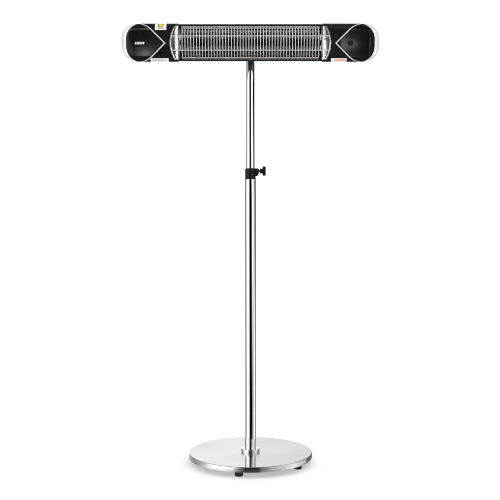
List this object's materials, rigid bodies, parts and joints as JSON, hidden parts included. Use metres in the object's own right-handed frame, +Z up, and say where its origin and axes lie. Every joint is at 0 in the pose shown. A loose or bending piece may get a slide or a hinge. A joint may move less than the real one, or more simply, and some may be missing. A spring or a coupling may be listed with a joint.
{
  "type": "patio heater",
  "caption": "Free-standing infrared patio heater with a round weighted base, telescopic clamped mast and a tilting horizontal quartz-lamp head behind a wire grille.",
  "frame": {"origin": "on the floor under the axis of the mast, the middle of the round base", "axes": "+Z up along the mast, the head's grille faces -Y, +X to the right seen from the front"},
  "size_m": [0.8796, 0.432, 1.525],
  "materials": {
    "brushed_disc": "brushed stainless sheet, satin",
    "cast_weight": "rough cast, primed",
    "black_sheet": "black powder coat, satin",
    "foot_rubber": "matt black rubber",
    "zinc_steel": "zinc-plated fastener",
    "chrome_tube": "polished chrome plate",
    "black_plastic": "fine-textured black moulding",
    "brass": "machined brass",
    "grey_nylon": "moulded grey nylon",
    "head_black": "black satin paint",
    "silver_shell": "silver lacquered moulding",
    "insert_black": "satin-gloss black moulding",
    "badge_metal": "brushed aluminium foil plate",
    "label_film": "white printed film without lettering",
    "reflector_alu": "hammered mirror-bright aluminium",
    "shield_steel": "aluminised steel sheet",
    "quartz": "clear fused quartz",
    "filament": "tungsten coil",
    "ceramic_white": "unglazed white steatite ceramic",
    "wire_chrome": "bright plated wire",
    "terminal_ivory": "ivory polyamide",
    "board_green": "coated circuit board",
    "button_dark": "soft-touch dark grey"
  },
  "bodies": {
    "stand": {"base_cover": "brushed_disc", "base_weight": "cast_weight", "base_plate": "black_sheet", "foot_1": "foot_rubber", "foot_2": "foot_rubber", "foot_3": "foot_rubber", "foot_4": "foot_rubber", "foot_5": "foot_rubber", "foot_screws": "zinc_steel", "base_ring": "chrome_tube", "tube_socket": "zinc_steel", "base_bolt": "zinc_steel", "base_washer": "zinc_steel", "lower_tube": "chrome_tube", "collar": "black_plastic", "collar_nut": "brass", "collar_rivet": "zinc_steel"},
    "clamp_pad": {"clamp_pad": "brass"},
    "clamp_knob": {"clamp_knob": "black_plastic", "clamp_stud": "zinc_steel"},
    "mast_slide": {"mast_bush": "grey_nylon"},
    "mast": {"mast_clips": "zinc_steel", "upper_tube": "chrome_tube", "mast_head": "black_plastic", "mast_rivets": "zinc_steel"},
    "head": {"head_bracket": "black_sheet", "bracket_bolts": "zinc_steel", "bracket_nuts": "zinc_steel", "tilt_bolt": "zinc_steel", "rear_housing": "head_black", "end_plate_left": "shield_steel", "end_plate_right": "shield_steel", "front_cover_left": "head_black", "front_cover_right": "head_black", "cover_screws": "zinc_steel", "end_cap_left": "silver_shell", "end_cap_right": "silver_shell", "cap_screws": "zinc_steel", "insert_left": "insert_black", "insert_right": "insert_black", "badge": "badge_metal", "labels": "label_film", "reflector": "reflector_alu", "reflector_end_left": "reflector_alu", "reflector_end_right": "reflector_alu", "heat_shield": "shield_steel", "lamp_upper": "quartz", "lamp_lower": "quartz", "filaments": "filament", "lamp_holders": "ceramic_white", "grille_wires": "wire_chrome", "grille_bars": "wire_chrome", "terminal_block": "terminal_ivory", "control_board": "board_green", "button_spring": "zinc_steel", "button_switch": "black_plastic", "cable_gland": "black_plastic"},
    "tilt_washer": {"tilt_washer": "zinc_steel"},
    "tilt_knob": {"tilt_knob": "black_plastic"},
    "power_button": {"power_button": "button_dark"}
  },
  "joints": [
    {"name": "mast_height", "type": "slide", "parent": "stand", "child": "mast_slide", "axis": [0, 0, 1], "range_m": [-0.3, 0.34]},
    {"name": "mast_swivel", "type": "hinge", "parent": "mast_slide", "child": "mast", "pos_m": [0, 0, 0.56], "axis": [0, 0, 1], "range_deg": [-180, 180]},
    {"name": "head_tilt", "type": "hinge", "parent": "mast", "child": "head", "pos_m": [0, -0.03, 1.472], "axis": [1, 0, 0], "range_deg": [-20, 26]},
    {"name": "clamp_travel", "type": "slide", "parent": "stand", "child": "clamp_pad", "axis": [1, 0, 0], "range_m": [0, 0.0025]},
    {"name": "clamp_turn", "type": "hinge", "parent": "clamp_pad", "child": "clamp_knob", "pos_m": [0.04, 0, 1.0225], "axis": [1, 0, 0], "range_deg": [0, 725]},
    {"name": "tilt_clamp_travel", "type": "slide", "parent": "head", "child": "tilt_washer", "axis": [1, 0, 0], "range_m": [0, 0.00125]},
    {"name": "tilt_clamp_turn", "type": "hinge", "parent": "tilt_washer", "child": "tilt_knob", "pos_m": [0.03, -0.03, 1.472], "axis": [1, 0, 0], "range_deg": [0, 365]},
    {"name": "power_button_press", "type": "slide", "parent": "head", "child": "power_button", "axis": [0, 0.9781, 0.2079], "range_m": [0, 0.0015], "stiffness_N_per_m": 800, "springref_m": -0.0005}
  ],
  "couplings": [
    {"joint": "clamp_turn", "follows": "clamp_travel", "rad_per_m": 5026.5},
    {"joint": "tilt_clamp_turn", "follows": "tilt_clamp_travel", "rad_per_m": 5026.5}
  ]
}
